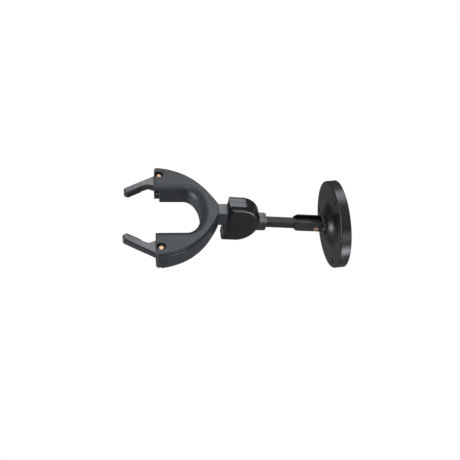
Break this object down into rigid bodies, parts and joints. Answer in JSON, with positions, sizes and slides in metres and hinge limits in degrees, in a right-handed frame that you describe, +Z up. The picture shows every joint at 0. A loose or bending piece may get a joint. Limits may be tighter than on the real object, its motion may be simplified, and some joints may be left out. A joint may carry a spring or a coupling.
{
  "type": "wall guitar hanger",
  "caption": "Round wall plate with a pitched square stem, a D-shaped pivot housing and a padded U yoke whose two gates swing shut when a guitar's weight rocks the yoke down",
  "frame": {"origin": "centre of the wall plate's back face, where it rests on the wall", "axes": "+Y into the wall, -Y out into the room along the stem, +Z up, +X to the right when facing the wall"},
  "size_m": [0.11, 0.2136, 0.0955],
  "materials": {
    "plate_coat": "satin black powder coat",
    "bracket_coat": "satin black coat",
    "screw_black": "black oxide, slightly glossy",
    "rivet_copper": "copper-coloured, lightly polished",
    "stem_coat": "satin charcoal coat",
    "collar_coat": "satin black coat",
    "housing_black": "satin moulded plastic",
    "pin_steel": "ground steel",
    "spring_steel": "drawn wire",
    "bump_rubber": "matte rubber",
    "yoke_coat": "satin black coat",
    "cover_black": "matte moulded plastic",
    "pad_soft": "soft matte charcoal pad",
    "pin_brass": "lightly polished brass",
    "bush_nylon": "natural nylon",
    "fork_steel": "stamped steel strip",
    "gate_black": "satin moulded plastic",
    "sleeve_rubber": "matte rubber"
  },
  "bodies": {
    "wall_mount": {"wall_plate": "plate_coat", "bracket": "bracket_coat", "bracket_screws": "screw_black", "stem_rivet": "rivet_copper", "stem_bar": "stem_coat", "stem_collar": "collar_coat", "stem_pin": "pin_steel", "housing_left": "housing_black", "housing_right": "housing_black", "housing_screws": "screw_black", "trunnion_pin": "pin_steel", "anchor_pin": "pin_steel", "bump_stop": "bump_rubber", "return_spring": "spring_steel"},
    "yoke": {"yoke_body": "yoke_coat", "yoke_cover": "cover_black", "yoke_pad": "pad_soft", "cover_screws": "screw_black", "gate_pins": "pin_brass", "pin_clips": "spring_steel", "trunnion_bushes": "bush_nylon"},
    "actuator": {"actuator_fork": "fork_steel"},
    "gate_left": {"gate_arm_left": "gate_black", "gate_sleeve_left": "sleeve_rubber", "gate_peg_left": "pin_steel"},
    "gate_right": {"gate_arm_right": "gate_black", "gate_sleeve_right": "sleeve_rubber", "gate_peg_right": "pin_steel"}
  },
  "joints": [
    {"name": "yoke_rock", "type": "hinge", "parent": "wall_mount", "child": "yoke", "pos_m": [0, -0.10453, 0.00914], "axis": [1, 0, 0], "range_deg": [0, 10], "stiffness_Nm_per_rad": 0.9, "springref_deg": -20.05, "deforming": ["return_spring"]},
    {"name": "gate_left_swing", "type": "hinge", "parent": "yoke", "child": "gate_left", "pos_m": [-0.0453, -0.17924, 0.04044], "axis": [0, 0.1392, 0.9903], "range_deg": [0, 45]},
    {"name": "gate_right_swing", "type": "hinge", "parent": "yoke", "child": "gate_right", "pos_m": [0.0453, -0.17924, 0.04044], "axis": [0, 0.1392, 0.9903], "range_deg": [-45, 0]},
    {"name": "actuator_slide", "type": "slide", "parent": "yoke", "child": "actuator", "axis": [0, 0.9903, -0.1392], "range_m": [0, 0.00387]}
  ],
  "couplings": [
    {"joint": "gate_left_swing", "follows": "yoke_rock", "ratio": 4.5},
    {"joint": "gate_right_swing", "follows": "yoke_rock", "ratio": -4.5},
    {"joint": "actuator_slide", "follows": "yoke_rock", "m_per_rad": 0.022173}
  ]
}
